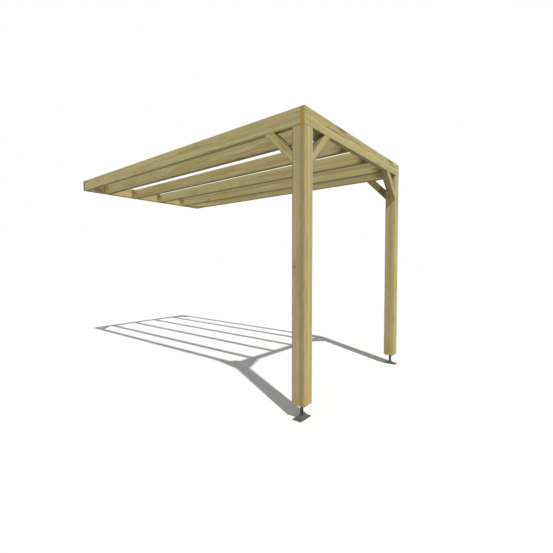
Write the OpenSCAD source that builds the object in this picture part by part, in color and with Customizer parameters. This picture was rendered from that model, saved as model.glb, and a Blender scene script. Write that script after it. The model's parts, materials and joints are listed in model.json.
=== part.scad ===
// Lean-to pergola: two front posts on steel feet, a ring of planed beams with four
// rafters between them, 45 degree braces at the corners, and a wall plate at the back.
// Millimetres. The origin is the centre of the wall plate's back face, which lies on
// the wall. +X is right seen from the front, +Y points into the wall and +Z is up.

/* [Overall] */
// Width along the wall, over the side beams
width = 2130; // [1700:10:2700]
// Depth from the wall to the front face of the front beam
depth = 4000; // [3000:50:4900]
// Height from the ground to the top of the beams
height = 2520; // [2050:10:3100]

/* [Beams and rafters] */
// Thickness of the front beam, the side beams and the wall plate
beam_t = 45; // [35:1:60]
// Depth of the front beam, the side beams and the wall plate
beam_h = 145; // [115:5:195]
// Thickness of a rafter
rafter_t = 45; // [35:1:60]
// Depth of a rafter
rafter_h = 145; // [95:5:195]
// Gap between the butting faces of two timbers
butt_gap = 0; // [0:0.5:2]

/* [Posts] */
// Side of a square post
post_w = 120; // [95:5:150]

/* [Braces] */
// Side of the square timber that the braces are cut from
brace_w = 75; // [45:5:95]
// Reach of a knee brace along the post and along the beam, outside
knee_leg = 291; // [200:1:400]
// Gap between a wall brace and the rafter beside it
wall_brace_gap = 34; // [20:1:60]

/* [Feet] */
// Gap under a post, from the ground to its end
foot_h = 120; // [90:5:160]
// Long side of a base plate
base_l = 154; // [120:5:200]
// Short side of a base plate
base_w = 84; // [70:5:120]
// Thickness of a base plate
base_t = 8; // [5:1:12]
// Corner radius of a base plate
base_r = 3; // [1:1:15]
// Distance between the anchor holes along a base plate
anchor_l = 122; // [98:2:170]
// Distance between the anchor holes across a base plate
anchor_w = 54; // [44:2:90]
// Diameter of an anchor hole
anchor_d = 11; // [9:1:14]
// Diameter of a foot's round stem
stem_d = 28; // [20:1:32]
// Side of the head plate under a post
head_w = 90; // [70:5:95]
// Thickness of a head plate
head_t = 6; // [4:1:10]
// Radius of the hollow flare at a stem's foot, along the base plate
flare_l_r = 40; // [30:1:50]
// Radius of the hollow flare at a stem's foot, across the base plate
flare_w_r = 20; // [12:1:22]
// Thickness of the flare's edge
flare_lip = 3; // [2:0.5:5]

/* [Wall fixing] */
// Diameter of a wall bolt's hole through the wall plate
wall_hole_d = 13; // [9:1:18]
// Height between the upper and the lower wall bolts
wall_hole_rise = 75; // [50:5:90]

/* [Hidden] */
$fn = 48;
RAFTERS = [1, 2, 3, 4];
SIDES = ["left", "right"];

PINE_FACE = "#b2a878";
PINE_SIDE = "#a1986f";
PINE_BRACE = "#8f8762";
STEEL = "#5c5f64";

// Levels, with the wall plate's mid-height at 0
top_z = beam_h / 2;
under_z = -beam_h / 2;
ground_z = top_z - height;
post_end_z = ground_z + foot_h;

// Plan lines
half_w = width / 2;
front_y = -depth;
side_in_x = half_w - beam_t;
plate_front_y = -beam_t;
run_l = depth - 2 * beam_t - 2 * butt_gap;
post_c_x = half_w - post_w / 2;
post_c_y = front_y + post_w / 2;

// Rafters stand at equal pitch between the posts, with half a pitch at each end
rafter_pitch = (width - 2 * post_w) / len(RAFTERS);

// A brace is mitred at 45 degrees, so its width takes this length of each leg
mitre_w = brace_w * sqrt(2);
first_rafter_x = half_w - post_w - rafter_pitch / 2 + rafter_t / 2;
wall_leg = side_in_x - first_rafter_x - wall_brace_gap;

// The wall bolts go through the middle of the bay next to each outer rafter
wall_hole_x = rafter_pitch;

function side_sign(side) = side == "left" ? -1 : 1;

// A box given by its lowest corner and its size
module block(corner, size) {
    translate(corner) cube(size);
}

// Mirrors what is drawn for the right side over to the left one
module on_side(side) {
    if (side == "left") mirror([1, 0, 0]) children();
    else children();
}

module wall_plate() {
    color(PINE_FACE) difference() {
        block([-half_w, plate_front_y, under_z], [width, beam_t, beam_h]);
        for (x = [-wall_hole_x, wall_hole_x], z = [-wall_hole_rise / 2, wall_hole_rise / 2])
            translate([x, 1, z]) rotate([90, 0, 0])
                cylinder(d = wall_hole_d, h = beam_t + 2);
    }
}

module front_beam() {
    color(PINE_FACE) block([-half_w, front_y, under_z], [width, beam_t, beam_h]);
}

// A timber that runs from the front beam's back face to the wall plate's front face
module run_timber(x, t, h) {
    block([x - t / 2, front_y + beam_t + butt_gap, top_z - h], [t, run_l, h]);
}

module side_beam(side) {
    color(PINE_SIDE) run_timber(side_sign(side) * (half_w - beam_t / 2), beam_t, beam_h);
}

module rafter(i) {
    color(PINE_SIDE) run_timber(
        (i - (len(RAFTERS) + 1) / 2) * rafter_pitch, rafter_t, rafter_h);
}

// A post is square up to the beams, and a tongue goes on up behind both of them
module post(side) {
    tongue_w = post_w - beam_t - butt_gap;
    color(PINE_FACE) on_side(side) {
        block([half_w - post_w, front_y, post_end_z],
              [post_w, post_w, under_z - post_end_z]);
        block([half_w - post_w, front_y + post_w - tongue_w, under_z],
              [tongue_w, tongue_w, beam_h]);
    }
}

// The outline of a brace in a corner at the origin, with legs along +X and -Y
module brace_outline(leg) {
    polygon([[0, -leg], [leg, 0], [leg - mitre_w, 0], [0, mitre_w - leg]]);
}

// Under the side beam, flush with its outer face
module knee_brace_side(side) {
    color(PINE_BRACE) on_side(side)
        translate([half_w - brace_w, front_y + post_w, under_z]) rotate([90, 0, 90])
            linear_extrude(brace_w) brace_outline(knee_leg);
}

// Under the front beam, flush with its front face
module knee_brace_front(side) {
    color(PINE_BRACE) on_side(side)
        translate([half_w - post_w, front_y + brace_w, under_z]) rotate([90, 0, 0])
            linear_extrude(brace_w) mirror([1, 0]) brace_outline(knee_leg);
}

// Flat in the corner of the side beam and the wall plate, level with their undersides
module wall_brace(side) {
    color(PINE_BRACE) on_side(side)
        translate([side_in_x, plate_front_y, under_z])
            linear_extrude(brace_w) mirror([1, 0]) brace_outline(wall_leg);
}

// Places a foot under a post. The two corner posts are turned a quarter turn from
// each other, and so are their feet.
module at_foot(side) {
    translate([side_sign(side) * post_c_x, post_c_y, ground_z])
        rotate(side == "left" ? 0 : 90) children();
}

module foot_base(side) {
    color(STEEL) at_foot(side) difference() {
        union() {
            block([-base_l / 2 + base_r, -base_w / 2, 0], [base_l - 2 * base_r, base_w, base_t]);
            block([-base_l / 2, -base_w / 2 + base_r, 0], [base_l, base_w - 2 * base_r, base_t]);
            for (x = [-1, 1], y = [-1, 1])
                translate([x * (base_l / 2 - base_r), y * (base_w / 2 - base_r), 0])
                    cylinder(r = base_r, h = base_t);
        }
        for (x = [-anchor_l / 2, anchor_l / 2], y = [-anchor_w / 2, anchor_w / 2])
            translate([x, y, -1]) cylinder(d = anchor_d, h = base_t + 2);
    }
}

// The flare's outline from one side: a lip, then a hollow arc up to the stem
module flare_outline(r) {
    half = stem_d / 2;
    difference() {
        translate([-half - r, 0]) square([2 * (half + r), flare_lip + r]);
        for (x = [-half - r, half + r])
            translate([x, flare_lip + r]) circle(r = r);
    }
}

// Stem and flare in one piece, from the base plate up to the head plate
module foot_stem(side) {
    color(STEEL) at_foot(side) translate([0, 0, base_t]) {
        cylinder(d = stem_d, h = foot_h - base_t - head_t);
        intersection() {
            translate([0, base_w / 2, 0]) rotate([90, 0, 0])
                linear_extrude(base_w) flare_outline(flare_l_r);
            translate([-base_l / 2, 0, 0]) rotate([90, 0, 90])
                linear_extrude(base_l) flare_outline(flare_w_r);
        }
    }
}

module foot_head(side) {
    color(STEEL) at_foot(side)
        block([-head_w / 2, -head_w / 2, foot_h - head_t], [head_w, head_w, head_t]);
}

wall_plate();
front_beam();
for (i = RAFTERS)
    rafter(i);
for (s = SIDES) {
    side_beam(s);
    post(s);
    knee_brace_side(s);
    knee_brace_front(s);
    wall_brace(s);
    foot_base(s);
    foot_stem(s);
    foot_head(s);
}
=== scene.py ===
"""Looks of the lean-to pergola: planed, pressure-treated pine on dark steel feet."""

import json
import math

import bmesh
import bpy
from mathutils import Matrix, Vector, noise

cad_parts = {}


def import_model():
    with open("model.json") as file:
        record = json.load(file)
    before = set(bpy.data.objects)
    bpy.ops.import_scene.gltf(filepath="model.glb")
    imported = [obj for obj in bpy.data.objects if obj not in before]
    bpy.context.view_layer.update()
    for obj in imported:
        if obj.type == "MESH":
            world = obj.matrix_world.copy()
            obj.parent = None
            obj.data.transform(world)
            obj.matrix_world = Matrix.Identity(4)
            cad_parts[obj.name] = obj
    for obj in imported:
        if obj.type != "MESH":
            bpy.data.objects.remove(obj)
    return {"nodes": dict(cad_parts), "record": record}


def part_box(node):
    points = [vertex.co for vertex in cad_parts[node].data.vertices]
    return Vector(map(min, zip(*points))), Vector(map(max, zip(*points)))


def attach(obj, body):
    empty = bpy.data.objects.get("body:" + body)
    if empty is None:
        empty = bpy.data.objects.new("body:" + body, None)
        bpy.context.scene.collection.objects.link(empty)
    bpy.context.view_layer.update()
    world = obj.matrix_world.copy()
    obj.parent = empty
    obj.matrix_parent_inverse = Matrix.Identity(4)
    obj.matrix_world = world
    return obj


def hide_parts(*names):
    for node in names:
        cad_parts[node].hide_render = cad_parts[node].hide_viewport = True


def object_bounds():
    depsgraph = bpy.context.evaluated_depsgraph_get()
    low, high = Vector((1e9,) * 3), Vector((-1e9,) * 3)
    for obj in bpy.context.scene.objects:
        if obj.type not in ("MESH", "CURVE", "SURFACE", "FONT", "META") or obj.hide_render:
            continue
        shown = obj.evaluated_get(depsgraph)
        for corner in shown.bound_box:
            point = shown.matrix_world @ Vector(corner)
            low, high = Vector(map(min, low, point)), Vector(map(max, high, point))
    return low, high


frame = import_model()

CAD_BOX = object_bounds()
SCENE = bpy.context.scene

# ---------------------------------------------------------------- sizes taken from the frame
BEAM_LO, BEAM_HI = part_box("front_beam")
PLATE_LO, PLATE_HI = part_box("wall_plate")
POST_LO, POST_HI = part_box("post_right")
GROUND_Z = CAD_BOX[0].z
TOP_Z = BEAM_HI.z
UNDER_Z = BEAM_LO.z
BEAM_T = BEAM_HI.y - BEAM_LO.y
BEAM_H = BEAM_HI.z - BEAM_LO.z
POST_W = POST_HI.x - POST_LO.x
HALF_W = BEAM_HI.x
FRONT_Y = BEAM_LO.y
SIDES = {"left": -1, "right": 1}

EASE = 0.0015         # radius of a planed timber's arris
STEM_D = 0.028        # diameter of a foot's stem
END_EASE = 0.001      # chamfer round a timber's sawn end
RING_STEP = 0.03      # distance between the cross-sections of a timber's mesh
FACE_STEP = 0.016     # distance between the mesh points across a face


# ---------------------------------------------------------------- mesh helpers
def new_object(name, mesh, matrix=Matrix.Identity(4)):
    """Links a mesh with its axes turned by the matrix. Creases over 35 degrees are sharp."""
    mesh.transform(matrix.to_3x3().to_4x4())
    for polygon in mesh.polygons:
        polygon.use_smooth = True
    mesh.set_sharp_from_angle(angle=math.radians(35))
    obj = bpy.data.objects.new(name, mesh)
    obj.location = matrix.translation
    SCENE.collection.objects.link(obj)
    bpy.context.view_layer.update()
    return obj


def declare(obj, slot, *nodes):
    """The piece rides on the one body and stands for the CAD nodes named, which it hides; slot is not used.
    """
    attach(obj, "root")
    if nodes:
        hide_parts(*nodes)
    return obj


def local_axes(origin, along, across):
    """The matrix of a timber whose local X runs along it, local Y across it and local Z square to both."""
    s = Vector(along).normalized()
    u = Vector(across).normalized()
    v = s.cross(u)
    m = Matrix((s, u, v)).transposed().to_4x4()
    m.translation = Vector(origin)
    return m


def section(hu, hv, checks):
    """Points round a section with eased arrises: (u, v, normal u, normal v, check number or None)."""
    points = []
    corners = [(1, -1), (1, 1), (-1, 1), (-1, -1)]
    for k, (cu, cv) in enumerate(corners):
        turn = math.radians(-90 + 90 * k)
        for i in range(4):
            a = turn + math.radians(30 * i)
            nu, nv = math.cos(a), math.sin(a)
            points.append((cu * (hu - EASE) + EASE * nu, cv * (hv - EASE) + EASE * nv, nu, nv, None))
        half = (hv if k % 2 == 0 else hu) - EASE
        parts = max(2, round(2 * half / FACE_STEP))
        stops = [(j / parts, None) for j in range(1, parts)]
        for number, check in enumerate(checks):
            if check["face"] == k:
                stops = [s for s in stops if abs(s[0] - check["at"]) * 2 * half > 0.006]
                gap = 0.0012 / (2 * half)
                stops += [(check["at"] - gap, None), (check["at"], number), (check["at"] + gap, None)]
        if k % 2 == 0:
            a0, a1 = (hu * cu, cv * half), (hu * cu, -cv * half)
        else:
            a0, a1 = (cu * half, hv * cv), (-cu * half, hv * cv)
        nu, nv = (cu, 0) if k % 2 == 0 else (0, cv)
        for f, number in sorted(stops, key=lambda stop: stop[0]):
            points.append((a0[0] + (a1[0] - a0[0]) * f, a0[1] + (a1[1] - a0[1]) * f, nu, nv, number))
    return points


def timber_mesh(name, length, hu, hv, seed, checks=(), mitre=0.0):
    """A planed timber along local X. Mitre is how far each end is cut back per metre of u."""
    ring = section(hu, hv, checks)
    stations = [(0.0, END_EASE), (END_EASE, 0.0)]
    count = max(2, round(length / RING_STEP))
    stations += [(length * i / count, 0.0) for i in range(1, count)]
    stations += [(length - END_EASE, 0.0), (length, END_EASE)]
    bm = bmesh.new()
    rings = []
    for s, inset in stations:
        verts = []
        for u, v, nu, nv, number in ring:
            wave = noise.noise(Vector((s * 1.7, u * 9 + seed, v * 9 - seed)))
            nick = noise.noise(Vector((s * 21 + seed, u * 40, v * 40)))
            on_arris = abs(nu) > 0.05 and abs(nv) > 0.05
            depth = inset + 0.0004 * (0.5 + 0.5 * wave)
            if on_arris:
                depth += 0.0016 * max(0.0, nick - 0.15)
            if number is not None:
                check = checks[number]
                t = (s - check["from"]) / (check["to"] - check["from"])
                if 0 < t < 1:
                    ragged = 0.75 + 0.5 * noise.noise(Vector((s * 14, seed, number * 3.1)))
                    depth += check["deep"] * math.sin(math.pi * t) ** 0.6 * ragged
            du, dv = -nu * depth, -nv * depth
            cut = mitre * (u + hu)
            x = cut + (length - 2 * cut) * (s / length)
            verts.append(bm.verts.new((x, u + du, v + dv)))
        rings.append(verts)
    n = len(ring)
    for a, b in zip(rings, rings[1:]):
        for i in range(n):
            j = (i + 1) % n
            bm.faces.new((a[i], a[j], b[j], b[i]))
    bm.faces.new(list(reversed(rings[0])))
    bm.faces.new(rings[-1])
    bmesh.ops.recalc_face_normals(bm, faces=bm.faces)
    mesh = bpy.data.meshes.new(name)
    bm.to_mesh(mesh)
    bm.free()
    return mesh


def cut(obj, cutter_mesh):
    """Subtracts closed shapes, given in world space, from the piece and keeps the result as its mesh."""
    cutter = bpy.data.objects.new("cutter", cutter_mesh)
    SCENE.collection.objects.link(cutter)
    mod = obj.modifiers.new("cut", "BOOLEAN")
    mod.operation = "DIFFERENCE"
    mod.object = cutter
    mod.solver = "MANIFOLD"
    bpy.context.view_layer.update()
    evaluated = obj.evaluated_get(bpy.context.evaluated_depsgraph_get())
    mesh = bpy.data.meshes.new_from_object(evaluated)
    obj.modifiers.clear()
    old = obj.data
    obj.data = mesh
    mesh.name = old.name
    bpy.data.meshes.remove(old)
    bpy.data.objects.remove(cutter)
    bpy.data.meshes.remove(cutter_mesh)
    mesh.set_sharp_from_angle(angle=math.radians(35))


def lathe(bm, profile, origin, axis, segments=24, star=()):
    """Turns (radius, height) points about an axis. Radius 0 closes an end; star lists notched rings."""
    axis = Vector(axis).normalized()
    side = axis.orthogonal().normalized()
    other = axis.cross(side)
    rings = []
    for number, (r, h) in enumerate(profile):
        centre = Vector(origin) + axis * h
        if r < 1e-9:
            rings.append([bm.verts.new(centre)])
            continue
        ring = []
        for i in range(segments):
            a = 2 * math.pi * i / segments
            reach = r * (0.74 if number in star and i % 2 else 1.0)
            ring.append(bm.verts.new(centre + side * (reach * math.cos(a)) + other * (reach * math.sin(a))))
        rings.append(ring)
    for a, b in zip(rings, rings[1:]):
        for i in range(segments):
            j = (i + 1) % segments
            corners = [a[i % len(a)], a[j % len(a)], b[j % len(b)], b[i % len(b)]]
            unique = list(dict.fromkeys(corners))
            if len(unique) > 2:
                bm.faces.new(unique)


def mesh_from(name, build):
    """Makes a mesh from a function that fills a bmesh."""
    bm = bmesh.new()
    build(bm)
    bmesh.ops.recalc_face_normals(bm, faces=bm.faces)
    mesh = bpy.data.meshes.new(name)
    bm.to_mesh(mesh)
    bm.free()
    return mesh


def box_into(bm, lo, hi):
    """Adds a closed box between two corners."""
    result = bmesh.ops.create_cube(bm, size=1.0)
    size = Vector(hi) - Vector(lo)
    centre = (Vector(hi) + Vector(lo)) / 2
    for v in result["verts"]:
        v.co = Vector((v.co.x * size.x, v.co.y * size.y, v.co.z * size.z)) + centre


# ---------------------------------------------------------------- shader helpers
class Shader:
    """A material's node tree, with short calls for the nodes that this script needs."""

    def __init__(self, name):
        self.material = bpy.data.materials.new(name)
        self.material.use_nodes = True
        self.tree = self.material.node_tree
        self.tree.nodes.clear()
        self.column = 0

    def add(self, kind, inputs=(), **props):
        node = self.tree.nodes.new(kind)
        self.column += 1
        node.location = (self.column % 40 * 180, -(self.column // 40) * 300)
        for key, value in props.items():
            setattr(node, key, value)
        for key, value in dict(inputs).items():
            socket = node.inputs[key]
            if isinstance(value, bpy.types.NodeSocket):
                self.tree.links.new(value, socket)
            else:
                socket.default_value = value
        return node

    def math(self, op, a, b=0.0, clamp=False):
        node = self.add("ShaderNodeMath", {0: a, 1: b}, operation=op, use_clamp=clamp)
        return node.outputs[0]

    def vector(self, op, a, b=(0, 0, 0)):
        return self.add("ShaderNodeVectorMath", {0: a, 1: b}, operation=op).outputs[0]

    def length(self, a):
        return self.add("ShaderNodeVectorMath", {0: a}, operation="LENGTH").outputs["Value"]

    def smooth(self, value, low, high, to_low=0.0, to_high=1.0):
        node = self.add("ShaderNodeMapRange", {0: value, 1: low, 2: high, 3: to_low, 4: to_high})
        node.interpolation_type = "SMOOTHSTEP"
        return node.outputs[0]

    def noise(self, vector, scale=1.0, detail=2.0, rough=0.5):
        inputs = {"Vector": vector, "Scale": scale, "Detail": detail, "Roughness": rough}
        return self.add("ShaderNodeTexNoise", inputs).outputs[0]

    def stretched(self, vector, stretch, detail=2.0, rough=0.5):
        """Noise in a space scaled by a different amount along each axis."""
        return self.noise(self.vector("MULTIPLY", vector, stretch), 1.0, detail, rough)

    def shake(self, vector, stretch, detail):
        """A stretched noise vector about zero."""
        tone = self.noise_colour(self.vector("MULTIPLY", vector, stretch), 1.0, detail)
        return self.vector("SUBTRACT", tone, (0.5, 0.5, 0.5))

    def noise_colour(self, vector, scale=1.0, detail=2.0):
        node = self.add("ShaderNodeTexNoise", {"Vector": vector, "Scale": scale, "Detail": detail})
        return node.outputs[1]

    def mix(self, factor, a, b, blend="MIX"):
        node = self.add("ShaderNodeMix", data_type="RGBA", blend_type=blend)
        for socket, value in ((node.inputs[0], factor), (node.inputs[6], a), (node.inputs[7], b)):
            if isinstance(value, bpy.types.NodeSocket):
                self.tree.links.new(value, socket)
            else:
                socket.default_value = value
        return node.outputs[2]

    def finish(self, colour, roughness, height=None, distance=0.001, strength=1.0, **fixed):
        bsdf = self.add("ShaderNodeBsdfPrincipled", {"Base Color": colour, "Roughness": roughness})
        for key, value in fixed.items():
            bsdf.inputs[key.replace("_", " ")].default_value = value
        if height is not None:
            bump = self.add("ShaderNodeBump", {"Height": height, "Distance": distance, "Strength": strength})
            self.tree.links.new(bump.outputs[0], bsdf.inputs["Normal"])
        self.add("ShaderNodeOutputMaterial", {"Surface": bsdf.outputs[0]})
        return self.material


def srgb(code, alpha=1.0):
    """A linear colour from a hex code as it looks on screen."""
    values = [int(code[i:i + 2], 16) / 255 for i in (1, 3, 5)]
    return tuple(v / 12.92 if v <= 0.04045 else ((v + 0.055) / 1.055) ** 2.4 for v in values) + (alpha,)


PINE_LIGHT = srgb("#cbbf8a")
PINE_MID = srgb("#b9ad79")
PINE_LATE = srgb("#8c804b")
PINE_GREEN = srgb("#9a9d5d")
PINE_HEART = srgb("#a08a60")
PINE_PINK = srgb("#b89a6c")
PINE_ORANGE = srgb("#b9882c")
PINE_STAIN = srgb("#7a7844")
PINE_EDGE = srgb("#857c4e")
END_LATE = srgb("#8f6a2c")
END_GREEN = srgb("#a79653")
KNOT_CORE = srgb("#86703f")
KNOT_RIM = srgb("#5c552c")


def pine(name, seed, hu, hv, matrix, pith, green=0.35, heart=0.035, knots=(), patches=(), ends=PINE_ORANGE):
    """Treated pine as a solid texture about a pith line that runs along the timber.

    pith is the pith's place (u, v) in the section, heart the radius of the browner heartwood. knots are
    ((s, u, v), radius) and patches ((s, u, v), (half sizes), colour, strength), in the timber's own axes.
    """
    sh = Shader(name)
    coords = sh.add("ShaderNodeTexCoord")
    turn = matrix.to_3x3().transposed().to_euler("XYZ")
    place = sh.add("ShaderNodeMapping", {"Vector": coords.outputs["Object"], "Rotation": turn}).outputs[0]
    shifted = sh.vector("ADD", place, (seed * 3.7, seed * 1.3, seed * 2.1))

    # The log isn't straight: its pith line wanders a little along the timber
    wander = sh.vector("MULTIPLY", sh.shake(shifted, (0.55, 0.0, 0.0), 1.0), (0.0, 0.07, 0.07))
    ripple = sh.vector("MULTIPLY", sh.shake(shifted, (3.0, 14.0, 14.0), 2.0), (0.0, 0.010, 0.010))
    warped = sh.vector("ADD", sh.vector("ADD", place, wander), ripple)
    radial = sh.vector("MULTIPLY", sh.vector("SUBTRACT", warped, (0.0, pith[0], pith[1])), (0.0, 1.0, 1.0))
    radius = sh.length(radial)

    # Scattered knots: one place per cell, about half of the cells hold one
    cell = (0.42, 0.075, 0.075)
    cells = {"Vector": sh.vector("DIVIDE", shifted, cell), "Scale": 1.0, "Randomness": 1.0}
    voronoi = sh.add("ShaderNodeTexVoronoi", cells)
    centre = sh.vector("MULTIPLY", voronoi.outputs["Position"], cell)
    offset = sh.vector("SUBTRACT", shifted, centre)
    dice = sh.add("ShaderNodeSeparateColor", {0: voronoi.outputs["Color"]})
    knot_far = sh.length(sh.vector("MULTIPLY", offset, (0.72, 1.0, 1.0)))
    knot_r = sh.smooth(dice.outputs[0], 0.60, 1.0, 0.0, 0.010)
    knot_in = sh.math("SUBTRACT", knot_r, knot_far)
    halo_far = sh.length(sh.vector("MULTIPLY", offset, (0.30, 1.0, 1.0)))
    halo = sh.math("MULTIPLY", sh.smooth(halo_far, 0.034, 0.0), sh.smooth(knot_r, 0.0, 0.006))
    for centre, r in knots:
        away = sh.vector("SUBTRACT", place, centre)
        rough_edge = sh.math("MULTIPLY", sh.math("SUBTRACT", sh.noise(shifted, 60.0), 0.5), r * 0.5)
        far = sh.length(sh.vector("MULTIPLY", away, (0.62, 1.0, 1.0)))
        near = sh.math("SUBTRACT", r, sh.math("ADD", far, rough_edge))
        knot_in = sh.math("MAXIMUM", knot_in, near)
        glow = sh.smooth(sh.length(sh.vector("MULTIPLY", away, (0.30, 1.0, 1.0))), r * 3.4, 0.0)
        halo = sh.math("MAXIMUM", halo, glow)

    # Growth rings, pushed aside round each knot
    bent = sh.math("ADD", radius, sh.math("MULTIPLY", halo, 0.014))
    rings = sh.math("DIVIDE", bent, 0.0052)
    jitter = sh.math("MULTIPLY", sh.noise(sh.vector("MULTIPLY", shifted, (0.8, 20.0, 20.0)), 1.0, 3.0), 1.6)
    phase = sh.math("FRACT", sh.math("ADD", rings, jitter))
    late = sh.math("MULTIPLY", sh.smooth(phase, 0.35, 0.86), sh.smooth(phase, 1.0, 0.9))
    ring_power = sh.noise(sh.vector("MULTIPLY", radial, (0.0, 55.0, 55.0)), 1.0, 1.0)
    late = sh.math("MULTIPLY", late, sh.smooth(ring_power, 0.3, 0.7, 0.35, 1.0))

    # Broad bands along the grain, as several years' growth of one tone
    years = sh.vector("MULTIPLY", radial, (0.0, 42.0, 42.0))
    band = sh.noise(sh.vector("ADD", years, sh.vector("MULTIPLY", shifted, (0.25, 0.0, 0.0))), 1.0, 2.0)
    blotch = sh.noise(sh.vector("MULTIPLY", shifted, (1.3, 9.0, 9.0)), 1.0, 3.0, 0.55)
    fibre = sh.noise(sh.vector("MULTIPLY", shifted, (9.0, 420.0, 420.0)), 1.0, 3.0, 0.6)
    fleck = sh.noise(sh.vector("MULTIPLY", shifted, (30.0, 1500.0, 1500.0)), 1.0, 2.0, 0.5)

    colour = sh.mix(sh.smooth(band, 0.36, 0.62), PINE_MID, PINE_LIGHT)
    colour = sh.mix(sh.math("MULTIPLY", sh.smooth(blotch, 0.50, 0.72), green), colour, PINE_GREEN)
    colour = sh.mix(sh.math("MULTIPLY", sh.smooth(blotch, 0.42, 0.26), 0.55), colour, PINE_PINK)
    in_heart = sh.smooth(radius, heart, heart * 0.55)
    colour = sh.mix(sh.math("MULTIPLY", in_heart, 0.6), colour, PINE_HEART)
    colour = sh.mix(sh.math("MULTIPLY", late, 0.62), colour, PINE_LATE)
    colour = sh.mix(sh.math("MULTIPLY", sh.smooth(fibre, 0.45, 0.75), 0.22), colour, PINE_LATE)
    colour = sh.mix(sh.math("MULTIPLY", sh.smooth(fibre, 0.5, 0.25), 0.18), colour, PINE_LIGHT)
    for centre, reach, tone, power in patches:
        away = sh.vector("DIVIDE", sh.vector("SUBTRACT", place, centre), reach)
        edge = sh.stretched(shifted, (9.0, 60.0, 60.0), 3.0)
        torn = sh.math("MULTIPLY", sh.math("SUBTRACT", edge, 0.5), 1.1)
        spread = sh.smooth(sh.math("ADD", sh.length(away), torn), 1.0, 0.25)
        colour = sh.mix(sh.math("MULTIPLY", spread, power), colour, tone)
    colour = sh.mix(sh.math("MULTIPLY", halo, 0.5), colour, PINE_STAIN)
    core = sh.smooth(knot_in, 0.0, 0.0014)
    rim = sh.math("MULTIPLY", sh.smooth(knot_in, -0.0018, 0.0), sh.smooth(knot_in, 0.0022, 0.0004))
    knot_rings = sh.math("FRACT", sh.math("DIVIDE", knot_far, 0.0016))
    knot_tone = sh.mix(sh.math("MULTIPLY", knot_rings, 0.35), KNOT_CORE, PINE_HEART)
    colour = sh.mix(core, colour, knot_tone)
    colour = sh.mix(rim, colour, KNOT_RIM)

    # Sawn ends take up more of the treatment and show the rings, with drying cracks from the pith
    normal = {"Vector": coords.outputs["Normal"], "Rotation": turn}
    turned = sh.add("ShaderNodeMapping", normal, vector_type="VECTOR")
    facing = sh.add("ShaderNodeSeparateXYZ", {0: turned.outputs[0]}).outputs[0]
    end = sh.smooth(sh.math("ABSOLUTE", facing), 0.55, 0.8)
    end_tone = sh.mix(sh.math("MULTIPLY", sh.smooth(phase, 0.3, 0.95), 0.6), ends, END_LATE)
    end_tone = sh.mix(sh.math("MULTIPLY", sh.smooth(blotch, 0.45, 0.7), 0.7), end_tone, END_GREEN)
    colour = sh.mix(sh.math("MULTIPLY", end, 0.85), colour, end_tone)

    # Arrises have taken up more treatment and dirt
    split = sh.add("ShaderNodeSeparateXYZ", {0: place})
    to_u = sh.math("SUBTRACT", hu, sh.math("ABSOLUTE", split.outputs[1]))
    to_v = sh.math("SUBTRACT", hv, sh.math("ABSOLUTE", split.outputs[2]))
    arris = sh.smooth(sh.math("MAXIMUM", to_u, to_v), 0.0075, 0.0015)
    worn = sh.noise(sh.vector("MULTIPLY", shifted, (3.0, 30.0, 30.0)), 1.0, 3.0)
    colour = sh.mix(sh.math("MULTIPLY", arris, sh.smooth(worn, 0.35, 0.65, 0.25, 0.8)), colour, PINE_EDGE)

    height = sh.math("ADD", sh.math("MULTIPLY", late, 0.5), sh.math("MULTIPLY", fibre, 0.6))
    height = sh.math("ADD", height, sh.math("MULTIPLY", fleck, 0.25))
    height = sh.math("SUBTRACT", height, sh.math("MULTIPLY", rim, 0.8))
    rough = sh.math("ADD", 0.66, sh.math("MULTIPLY", fibre, 0.22))
    return sh.finish(colour, rough, height, distance=0.0006, strength=0.7)


def steel(name, base, rough, seed, low_tone=None):
    """Satin dark steel with a faint mottle, dusty near the ground, where it may have another tone."""
    sh = Shader(name)
    place = sh.add("ShaderNodeTexCoord").outputs["Object"]
    shifted = sh.vector("ADD", place, (seed, seed * 0.7, seed * 1.9))
    mottle = sh.noise(shifted, 90.0, 4.0, 0.6)
    cloud = sh.noise(shifted, 16.0, 3.0, 0.5)
    scratch = sh.noise(sh.vector("MULTIPLY", shifted, (700.0, 60.0, 60.0)), 1.0, 2.0, 0.5)
    colour = sh.mix(sh.smooth(cloud, 0.3, 0.7), base, tuple(c * 1.35 for c in base[:3]) + (1.0,))
    colour = sh.mix(sh.math("MULTIPLY", sh.smooth(mottle, 0.52, 0.75), 0.4), colour, srgb("#83868a"))
    split = sh.add("ShaderNodeSeparateXYZ", {0: place})
    if low_tone:
        colour = sh.mix(sh.smooth(split.outputs[2], GROUND_Z + 0.050, GROUND_Z + 0.022), colour, low_tone)
    low = sh.smooth(split.outputs[2], GROUND_Z + 0.03, GROUND_Z)
    dust = sh.math("MULTIPLY", low, sh.smooth(mottle, 0.35, 0.7))
    colour = sh.mix(sh.math("MULTIPLY", dust, 0.5), colour, srgb("#8b877c"))
    grit = sh.math("ADD", sh.math("MULTIPLY", mottle, 0.3), sh.math("MULTIPLY", scratch, 0.1))
    return sh.finish(colour, sh.math("ADD", rough, grit), sh.math("ADD", mottle, scratch), distance=0.0003,
                     strength=0.5, Metallic=0.75)


# ---------------------------------------------------------------- timbers
def check(face, at, start, end, deep):
    """A drying crack in face 0 (+u), 1 (+v), 2 (-u) or 3 (-v), at a share of its width."""
    return {"face": face, "at": at, "from": start, "to": end, "deep": deep}


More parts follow.
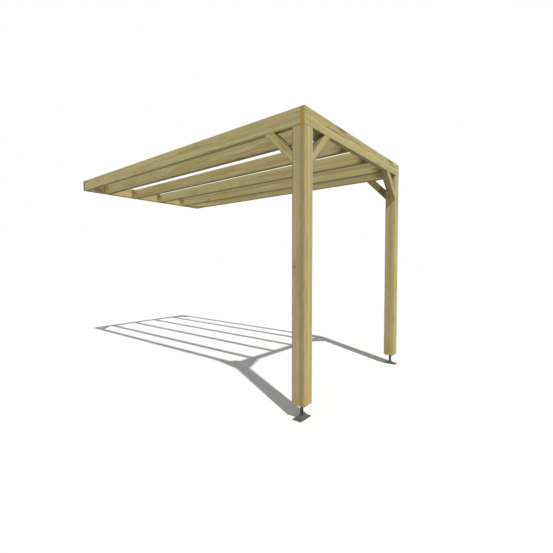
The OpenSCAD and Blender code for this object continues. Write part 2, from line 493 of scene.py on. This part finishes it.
def straight_timber(node, slot, seed, along, across, pith, checks=(), **look):
    """A straight timber that fills its CAD node's box, with local X along it from its low end."""
    lo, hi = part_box(node)
    size = hi - lo
    along, across = Vector(along), Vector(across)
    length = abs(size.dot(along))
    hu = abs(size.dot(across)) / 2
    third = along.cross(across)
    hv = abs(size.dot(third)) / 2
    centre = (lo + hi) / 2
    matrix = local_axes(centre - along * (length / 2), along, across)
    mesh = timber_mesh(node + "_timber", length, hu, hv, seed, checks)
    obj = new_object(node + "_timber", mesh, matrix)
    mesh.materials.append(pine(node + "_pine", seed, hu, hv, matrix, pith, **look))
    return declare(obj, slot, node)


X, Y, Z = (1, 0, 0), (0, 1, 0), (0, 0, 1)

# Beams have u across their thickness and v up, so that their broad faces are +u and -u
timbers = {}
OUT = -BEAM_T / 2        # the local u of the face that a beam or rafter shows to the outside
timbers["front_beam"] = straight_timber(
    "front_beam", "beam_pine", 11.3, X, Y, pith=(0.030, 0.010), green=0.4,
    knots=[((0.61, OUT, 0.062), 0.014), ((1.84, OUT, 0.060), 0.014), ((1.47, OUT, -0.052), 0.007)],
    patches=[((0.61, OUT, 0.064), (0.15, 0.03, 0.026), srgb("#66703a"), 0.85),
             ((0.45, OUT, 0.004), (0.36, 0.03, 0.010), srgb("#7c6c3c"), 0.85),
             ((0.85, OUT, 0.030), (0.30, 0.03, 0.009), srgb("#857744"), 0.7),
             ((1.05, OUT, -0.012), (0.42, 0.03, 0.007), srgb("#8a7a48"), 0.7),
             ((1.14, OUT, 0.004), (0.16, 0.03, 0.045), srgb("#cca86c"), 0.6),
             # Painted shade: the beam's underside is darker brown along its whole length.
             ((1.06, 0.0, -BEAM_H / 2), (3.0, 0.09, 0.010), srgb("#9c875e"), 0.6),
             ((1.50, OUT, -0.045), (0.16, 0.03, 0.028), srgb("#a5ab66"), 0.8),
             ((1.84, OUT, 0.058), (0.15, 0.03, 0.024), srgb("#66703a"), 0.8),
             ((1.92, OUT, 0.020), (0.16, 0.03, 0.014), srgb("#6c6a38"), 0.7),
             ((1.66, OUT, 0.010), (0.35, 0.03, 0.008), srgb("#8a7a48"), 0.65)],
    checks=[check(2, 0.42, 0.35, 1.25, 0.003)])
# Painted shade: a dark patch on the wall plate's face just beside each rafter, where shadow falls.
RAFTER_SIDE_SHADOWS = [((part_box(f"rafter_{i}")[0].x - BEAM_LO.x - 0.035, OUT, 0.02), (0.055, 0.02, 0.14),
                srgb("#5d4b2c"), 0.8) for i in (1, 2, 3, 4)]
timbers["wall_plate"] = straight_timber(
    # Painted shade: the wall plate's sawn ends get a dark brown end colour, as if shaded against the wall.
    "wall_plate", "beam_pine", 23.9, X, Y, pith=(-0.035, 0.020), green=0.15, ends=srgb("#4b3f22"),
    patches=[((0.60, OUT, 0.0), (0.22, 0.02, 0.09), srgb("#c9b379"), 0.6),
             ((1.06, OUT, 0.0), (0.22, 0.02, 0.09), srgb("#c39c68"), 0.6),
             ((1.55, OUT, 0.0), (0.26, 0.02, 0.09), srgb("#c9b379"), 0.5),
             # Painted shade: the wall plate's underside is dark brown along its whole length.
             ((1.06, 0.0, -BEAM_H / 2), (3.0, 0.09, 0.010), srgb("#4b4122"), 0.8)] + RAFTER_SIDE_SHADOWS,
    checks=[check(2, 0.6, 0.9, 1.6, 0.003)])
timbers["side_beam_left"] = straight_timber(
    "side_beam_left", "beam_pine", 37.1, Y, (-1, 0, 0), pith=(-0.050, -0.060), green=0.45, heart=0.030,
    patches=[((3.45, -OUT, 0.020), (0.22, 0.03, 0.06), srgb("#b5946a"), 0.5),
             ((0.16, -OUT, -0.012), (0.28, 0.03, 0.04), srgb("#ad9a72"), 0.6),
             ((2.35, -OUT, -0.030), (0.45, 0.03, 0.04), srgb("#ac9462"), 0.6),
             ((1.35, -OUT, 0.020), (0.40, 0.03, 0.02), srgb("#8b8a50"), 0.6)],
    checks=[check(0, 0.55, 0.8, 2.1, 0.003)])
timbers["side_beam_right"] = straight_timber(
    "side_beam_right", "beam_pine", 41.7, Y, (-1, 0, 0), pith=(0.034, 0.012), green=0.4,
    knots=[((0.15, -OUT, -0.020), 0.012)],
    patches=[((0.15, -OUT, -0.02), (0.16, 0.03, 0.06), srgb("#5d5a33"), 0.8)])
RAFTER_PITHS = [(-0.030, 0.015), (0.036, -0.024), (-0.026, -0.030), (0.032, 0.028)]
RAFTER_TONES = ["#ab9566", "#b3955f", "#a3935f", "#ae9d64"]
for i, pith in enumerate(RAFTER_PITHS):
    tone = srgb(RAFTER_TONES[i])
    timbers[f"rafter_{i + 1}"] = straight_timber(
        f"rafter_{i + 1}", "rafter_pine", 53.3 + 7.9 * i, Y, (-1, 0, 0), pith=pith,
        green=0.3 + 0.1 * (i % 2), heart=0.026,
        # Painted shadow: the front beam's shadow, a dark patch low on each rafter's outer face at its front
        # end.
        patches=[((0.0, -OUT, -0.035), (0.19, 0.03, 0.085), srgb("#66573a"), 0.7),
                 # Painted shade: each rafter's underside is darker along its whole length.
                 ((1.9, 0.0, -BEAM_H / 2), (9.0, 0.09, 0.008), srgb("#6f6140"), 0.6),
                 # Painted shade: a dark band on the outer face where the rafter meets the wall plate.
                 ((3.91, -OUT, 0.0), (0.05, 0.03, 0.2), srgb("#6a6040"), 0.6),
                 ((0.5 + 0.3 * i, -OUT, 0.0), (0.35, 0.03, 0.05), tone, 0.6),
                 ((1.9 - 0.2 * i, -OUT, 0.01), (0.45, 0.03, 0.04), tone, 0.6),
                 ((3.2 - 0.1 * i, -OUT, -0.01), (0.30, 0.03, 0.06), tone, 0.5)],
        checks=[check(0, 0.35 + 0.1 * i, 0.4 + 0.5 * i, 1.5 + 0.5 * i, 0.0025)])
HALF_POST = POST_W / 2
timbers["post_left"] = straight_timber(
    "post_left", "post_pine", 83.1, Z, X, pith=(-0.030, 0.080), green=0.25, heart=0.020,
    patches=[((1.2, -HALF_POST, -0.034), (9.0, 0.012, 0.036), srgb("#9c8a62"), 0.8),
             ((1.2, -0.040, -HALF_POST), (9.0, 0.018, 0.012), srgb("#b39a6e"), 0.6),
             ((1.2, 0.008, -HALF_POST), (9.0, 0.016, 0.012), srgb("#cfbd7c"), 0.7),
             # Painted highlight: a pale stripe down the front face's right arris, full length.
             ((1.2, HALF_POST, -HALF_POST), (9.0, 0.022, 0.020), srgb("#c9bfa0"), 0.9),
             ((1.2, -HALF_POST, HALF_POST), (9.0, 0.018, 0.014), srgb("#7f7b55"), 0.6),
             ((0.12, 0.008, -HALF_POST), (0.15, 0.040, 0.02), srgb("#c7a86a"), 0.7),
             ((0.050, -0.030, -HALF_POST), (0.042, 0.024, 0.02), srgb("#c6a34b"), 0.6),
             ((0.04, -HALF_POST, 0.020), (0.07, 0.02, 0.055), srgb("#b59d63"), 0.75),
             ((0.045, -HALF_POST, -0.020), (0.035, 0.02, 0.016), srgb("#a58a4c"), 0.6),
             ((0.00, -HALF_POST, -HALF_POST), (0.05, 0.035, 0.035), srgb("#8f9440"), 0.75),
             ((0.55, -0.030, -HALF_POST), (0.40, 0.020, 0.02), srgb("#bf9c62"), 0.5)],
    checks=[check(2, 0.45, 0.5, 1.6, 0.006), check(3, 0.62, 1.1, 2.0, 0.005)])
timbers["post_right"] = straight_timber(
    "post_right", "post_pine", 91.7, Z, X, pith=(0.020, 0.080), green=0.25, heart=0.020,
    patches=[((1.2, -HALF_POST, 0.000), (9.0, 0.012, 0.030), srgb("#b09a6c"), 0.6),
             ((1.2, -0.020, -HALF_POST), (9.0, 0.020, 0.012), srgb("#cbb87a"), 0.6),
             ((0.05, -HALF_POST, 0.0), (0.14, 0.02, 0.06), srgb("#b58d57"), 0.6)],
    checks=[check(2, 0.55, 0.7, 1.8, 0.006), check(1, 0.4, 0.4, 1.2, 0.005)])


def brace_timber(node, seed, corner, leg_a, leg_b, pith, shade_strength=0.0):
    """A mitred brace across a corner; leg_a and leg_b point away from it along the two timbers. Painted
    shade darkens its inner face, and the whole brace by the share the last argument gives.
    """
    lo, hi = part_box(node)
    size = hi - lo
    a, b = Vector(leg_a), Vector(leg_b)
    reach = abs(size.dot(a))
    third = a.cross(b)
    thick = abs(size.dot(third))
    mid = Vector([(l + h) / 2 for l, h in zip(lo, hi)])
    level = third * mid.dot(third)
    corner = Vector(corner)
    corner = corner - third * corner.dot(third) + level
    along = (b - a).normalized()
    inward = -(a + b).normalized()
    start = corner + a * reach
    origin = start + inward * (BRACE_W / 2)
    matrix = local_axes(origin, along, inward)
    mesh = timber_mesh(node + "_timber", reach * math.sqrt(2), BRACE_W / 2, thick / 2, seed, (), mitre=1.0)
    obj = new_object(node + "_timber", mesh, matrix)
    length = reach * math.sqrt(2)
    # Painted shade: the brace's inner face, toward the corner, is dark along its whole length.
    inner_face_shade = ((length / 2, BRACE_W / 2, 0.0), (1.2, 0.014, 0.4), srgb("#4d4426"), 0.8)
    # Painted shade: the whole brace is darkened, by the share given.
    whole_brace_shade = ((length / 2, 0.0, 0.0), (0.5, 0.2, 0.2), srgb("#6d5f38"), shade_strength)
    mesh.materials.append(pine(node + "_pine", seed, BRACE_W / 2, thick / 2, matrix, pith,
                               green=0.35, heart=0.02, patches=[whole_brace_shade, inner_face_shade]))
    BRACE_SCREWS[node] = brace_screws(corner, a, b, reach)
    return declare(obj, "brace_pine", node)


def brace_screws(corner, a, b, reach):
    """Two screws at each end of a brace, sunk square into its long outer face."""
    outward = (a + b).normalized()
    along = (b - a).normalized()
    third = a.cross(b)
    middle = corner + (a + b) * (reach / 2)
    length = reach * math.sqrt(2)
    places = []
    for end in (-1, 1):
        for row in (-1, 1):
            spot = middle + along * (end * (length / 2 - 0.055 - 0.008 * row)) + third * (row * 0.018)
            places.append((spot, outward))
    return places


BRACE_SCREWS = {}
BRACE_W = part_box("wall_brace_right")[1].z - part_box("wall_brace_right")[0].z
for n, (side, sign) in enumerate(SIDES.items()):
    post_inner = sign * (HALF_W - POST_W)
    timbers[f"knee_brace_side_{side}"] = brace_timber(
        f"knee_brace_side_{side}", 101.3 + 5 * n, (sign * (HALF_W - BRACE_W / 2), FRONT_Y + POST_W, UNDER_Z),
        # Painted shade darkens the right side's knee brace all over.
        (0, 0, -1), (0, 1, 0), (0.02, -0.05), shade_strength=0.6 * n)
    timbers[f"knee_brace_front_{side}"] = brace_timber(
        f"knee_brace_front_{side}", 113.9 + 5 * n, (post_inner, FRONT_Y + BRACE_W / 2, UNDER_Z),
        (0, 0, -1), (-sign, 0, 0), (-0.03, 0.04))
    timbers[f"wall_brace_{side}"] = brace_timber(
        f"wall_brace_{side}", 127.7 + 5 * n, (sign * (HALF_W - BEAM_T), PLATE_LO.y, UNDER_Z + BRACE_W / 2),
        # Painted shade darkens both wall braces all over.
        (-sign, 0, 0), (0, -1, 0), (0.04, 0.03), shade_strength=0.4)

def notch_post(side, sign):
    """Cuts the post's top back to the tongue that stands behind the two beams."""
    lo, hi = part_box(f"post_{side}")
    spare = Vector((0.01, 0.01, 0.01))
    x_cut = sorted((sign * (HALF_W - BEAM_T), sign * (HALF_W + spare.x)))

    def front(bm):
        box_into(bm, (lo.x - spare.x, lo.y - spare.y, UNDER_Z),
                 (hi.x + spare.x, FRONT_Y + BEAM_T, hi.z + spare.z))

    def flank(bm):
        box_into(bm, (x_cut[0], lo.y - spare.y, UNDER_Z), (x_cut[1], hi.y + spare.y, hi.z + spare.z))

    cut(timbers[f"post_{side}"], mesh_from("notch", front))
    cut(timbers[f"post_{side}"], mesh_from("notch", flank))


def wall_bolt_holes(bm):
    """The four holes for the wall anchors, as in the CAD plate."""
    for mount in frame["record"]["mounts"]:
        if mount["name"] == "wall_bolts":
            dims = mount["dims"]
            for sx in (-1, 1):
                for sz in (-1, 1):
                    x = sx * dims["spacing_x_mm"] / 2000
                    z = sz * dims["spacing_y_mm"] / 2000
                    r = dims["hole_r_mm"] / 1000
                    bore = [(0, -0.02), (r, -0.02), (r, BEAM_T + 0.02), (0, BEAM_T + 0.02)]
                    lathe(bm, bore, (x, 0, z), (0, -1, 0))


for side, sign in SIDES.items():
    notch_post(side, sign)
cut(timbers["wall_plate"], mesh_from("bores", wall_bolt_holes))

# ---------------------------------------------------------------- screws
HEAD_R = 0.0048       # radius of a countersunk head
HEAD_DEPTH = 0.0042   # how deep its cone goes
SINK = 0.0012         # how far it is sunk below the face


def beam_screws(side, sign):
    """Corner screws: through the front beam into the side beam and the tongue, and through the side beam."""
    rise = BEAM_H / 4
    tongue_x = sign * (HALF_W - BEAM_T - (POST_W - BEAM_T) / 2)
    tongue_y = FRONT_Y + BEAM_T + (POST_W - BEAM_T) / 2
    front = [(Vector((x, FRONT_Y, z)), Vector((0, -1, 0)))
             for x in (sign * (HALF_W - BEAM_T / 2), tongue_x) for z in (-rise, rise)]
    flank = [(Vector((sign * HALF_W, tongue_y, z)), Vector((sign, 0, 0))) for z in (-rise, rise)]
    return front, flank


def sinks(places):
    """The countersunk holes for a timber's screws, as one set of closed shapes."""
    def build(bm):
        for spot, outward in places:
            lathe(bm, [(0, -SINK - HEAD_DEPTH - 0.004), (0.0026, -SINK - HEAD_DEPTH - 0.004),
                       (0.0026, -SINK - HEAD_DEPTH), (HEAD_R + 0.0003, -SINK),
                       (HEAD_R + 0.0005, 0.004), (0, 0.004)], spot, outward, segments=16)
    return mesh_from("sinks", build)


def screw_heads(name, places):
    """Countersunk heads with a star recess, standing in their sinks."""
    def build(bm):
        for spot, outward in places:
            lathe(bm, [(0, -SINK - 0.0026), (0.0017, -SINK - 0.0026), (0.0020, -SINK),
                       (HEAD_R - 0.0003, -SINK), (HEAD_R, -SINK - 0.0003), (0.0026, -SINK - HEAD_DEPTH),
                       (0.0026, -SINK - 0.007), (0, -SINK - 0.007)],
                  spot, outward, segments=12, star=(1, 2))
    mesh = mesh_from(name, build)
    mesh.materials.append(SCREW_STEEL)
    return declare(new_object(name, mesh), "foot_steel")


SCREW_STEEL = steel("screw_coating", srgb("#4b4433"), 0.35, 7.7)
for side, sign in SIDES.items():
    front, flank = beam_screws(side, sign)
    cut(timbers["front_beam"], sinks(front))
    cut(timbers[f"side_beam_{side}"], sinks(flank))
    screw_heads(f"corner_screws_{side}", front + flank)
for node, places in BRACE_SCREWS.items():
    cut(timbers[node], sinks(places))
    screw_heads(f"{node}_screws", places)

# ---------------------------------------------------------------- steel feet
BASE_STEEL = steel("foot_base_steel", srgb("#5c625d"), 0.42, 3.1)
STEM_STEEL = steel("foot_stem_steel", srgb("#3e3f48"), 0.36, 5.9, low_tone=srgb("#5e645f"))


def dress(node, material, ease):
    """Gives a CAD node its steel, and eases its edges."""
    obj = frame["nodes"][node]
    obj.data.materials.clear()
    obj.data.materials.append(material)
    if ease:
        bevel = obj.modifiers.new("ease", "BEVEL")
        bevel.width = ease
        bevel.segments = 2
        bevel.limit_method = "ANGLE"
        bevel.angle_limit = math.radians(40)


def weld_bead(bm, centre, radius, thick, height):
    """A fillet weld round a stem under its head plate, with the small ripples of its passes."""
    turns, across = 96, 6
    rings = []
    for i in range(turns):
        a = 2 * math.pi * i / turns
        ripple = 1.0 + 0.10 * abs(math.sin(a * 15))
        ring = []
        for j in range(across + 1):
            t = math.pi / 2 * j / across
            r = radius + thick * ripple * (1 - math.sin(t))
            z = -height * ripple * (1 - math.cos(t))
            ring.append(bm.verts.new(centre + Vector((r * math.cos(a), r * math.sin(a), z))))
        inner = radius - 0.001
        ring.append(bm.verts.new(centre + Vector((inner * math.cos(a), inner * math.sin(a), 0))))
        rings.append(ring)
    n = across + 2
    for i in range(turns):
        here, after = rings[i], rings[(i + 1) % turns]
        for j in range(n):
            k = (j + 1) % n
            bm.faces.new((here[j], here[k], after[k], after[j]))


def hex_head(bm, centre, across, height):
    """A coach screw's hexagon head with a washer face, hanging under a plate."""
    r = across / 2 / math.cos(math.pi / 6)
    lathe(bm, [(0, 0), (across * 0.62, 0), (across * 0.62, -0.0016), (0, -0.0016)], centre, (0, 0, 1), 24)
    lathe(bm, [(0, -0.0016), (r, -0.0016), (r, -0.0016 - height * 0.85), (r * 0.90, -0.0016 - height),
               (0, -0.0016 - height)], centre, (0, 0, 1), 6)


for side in SIDES:
    dress(f"foot_base_{side}", BASE_STEEL, 0.0010)
    dress(f"foot_stem_{side}", STEM_STEEL, 0.0)
    dress(f"foot_head_{side}", STEM_STEEL, 0.0008)
    lo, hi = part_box(f"foot_head_{side}")
    under = Vector(((lo.x + hi.x) / 2, (lo.y + hi.y) / 2, lo.z))
    bead = mesh_from(f"weld_{side}", lambda bm: weld_bead(bm, under, STEM_D / 2, 0.005, 0.005))
    bead.materials.append(STEM_STEEL)
    declare(new_object(f"weld_{side}", bead), "foot_steel")

    def coach_screws(bm):
        reach = (hi.x - lo.x) / 2 - 0.013
        for sx in (-1, 1):
            for sy in (-1, 1):
                hex_head(bm, under + Vector((sx * reach, sy * reach, 0)), 0.013, 0.0055)

    heads = mesh_from(f"coach_screws_{side}", coach_screws)
    heads.materials.append(STEM_STEEL)
    declare(new_object(f"coach_screws_{side}", heads), "foot_steel")

# ---------------------------------------------------------------- floor, light and camera
FLOOR_SIZE = 80.0


def floor():
    """A pale floor that shows white to the camera and throws only a little light up at the timbers."""
    half = FLOOR_SIZE / 2
    mesh = mesh_from("floor", lambda bm: bmesh.ops.create_grid(bm, x_segments=1, y_segments=1, size=half))
    obj = new_object("floor", mesh, Matrix.Translation((0, 0, GROUND_Z)))
    sh = Shader("floor_white")
    path = sh.add("ShaderNodeLightPath").outputs
    mirrored = sh.math("MAXIMUM", path["Is Glossy Ray"], path["Is Transmission Ray"])
    seen = sh.math("MAXIMUM", path["Is Camera Ray"], mirrored)
    pale = sh.add("ShaderNodeBsdfDiffuse", {"Color": (0.84, 0.84, 0.84, 1)})
    dim = sh.add("ShaderNodeBsdfDiffuse", {"Color": (0.22, 0.21, 0.20, 1)})
    both = sh.add("ShaderNodeMixShader", {0: seen, 1: dim.outputs[0], 2: pale.outputs[0]})
    sh.add("ShaderNodeOutputMaterial", {"Surface": both.outputs[0]})
    mesh.materials.append(sh.material)


def world():
    """An even studio sky, plain white where the camera looks past the floor."""
    tree_world = bpy.data.worlds.new("studio")
    SCENE.world = tree_world
    tree_world.use_nodes = True
    tree = tree_world.node_tree
    tree.nodes.clear()
    path = tree.nodes.new("ShaderNodeLightPath")
    seen = tree.nodes.new("ShaderNodeMath")
    seen.operation = "MAXIMUM"
    tree.links.new(path.outputs["Is Camera Ray"], seen.inputs[0])
    tree.links.new(path.outputs["Is Glossy Ray"], seen.inputs[1])
    sky = tree.nodes.new("ShaderNodeBackground")
    sky.inputs[0].default_value = (0.97, 0.985, 1.0, 1)
    sky.inputs[1].default_value = 0.30
    white = tree.nodes.new("ShaderNodeBackground")
    white.inputs[0].default_value = (1, 1, 1, 1)
    white.inputs[1].default_value = 1.0
    both = tree.nodes.new("ShaderNodeMixShader")
    tree.links.new(seen.outputs[0], both.inputs[0])
    tree.links.new(sky.outputs[0], both.inputs[1])
    tree.links.new(white.outputs[0], both.inputs[2])
    out = tree.nodes.new("ShaderNodeOutputWorld")
    tree.links.new(both.outputs[0], out.inputs[0])


def sun(name, energy, angle, travel):
    """A distant lamp of a given strength, softness in degrees and direction of travel."""
    lamp = bpy.data.lights.new(name, "SUN")
    lamp.energy = energy
    lamp.angle = math.radians(angle)
    lamp.color = (1.0, 0.985, 0.955)
    obj = bpy.data.objects.new(name, lamp)
    obj.rotation_mode = "QUATERNION"
    obj.rotation_quaternion = Vector(travel).to_track_quat("-Z", "Y")
    SCENE.collection.objects.link(obj)


def camera():
    """Stands in front and to the left, at chest height, and looks level at the near post."""
    data = bpy.data.cameras.new("camera")
    data.sensor_width = 36.0
    data.lens = 22.29
    data.clip_end = 200
    obj = bpy.data.objects.new("camera", data)
    heading = math.radians(51.4525)
    pitch = math.radians(-2.1686)
    level = math.cos(pitch)
    forward = Vector((math.sin(heading) * level, math.cos(heading) * level, math.sin(pitch)))
    obj.location = Vector((-3.32493, FRONT_Y - 1.52014, TOP_Z - 1.23787))
    obj.rotation_mode = "QUATERNION"
    obj.rotation_quaternion = forward.to_track_quat("-Z", "Y")
    SCENE.collection.objects.link(obj)
    SCENE.camera = obj


floor()
world()
sun("key", 3.5, 1.2, (0.261, 0.517, -0.815))
sun("fill", 0.5, 60, (0.90, 0.35, -0.26))
camera()
SCENE.view_settings.view_transform = "Standard"
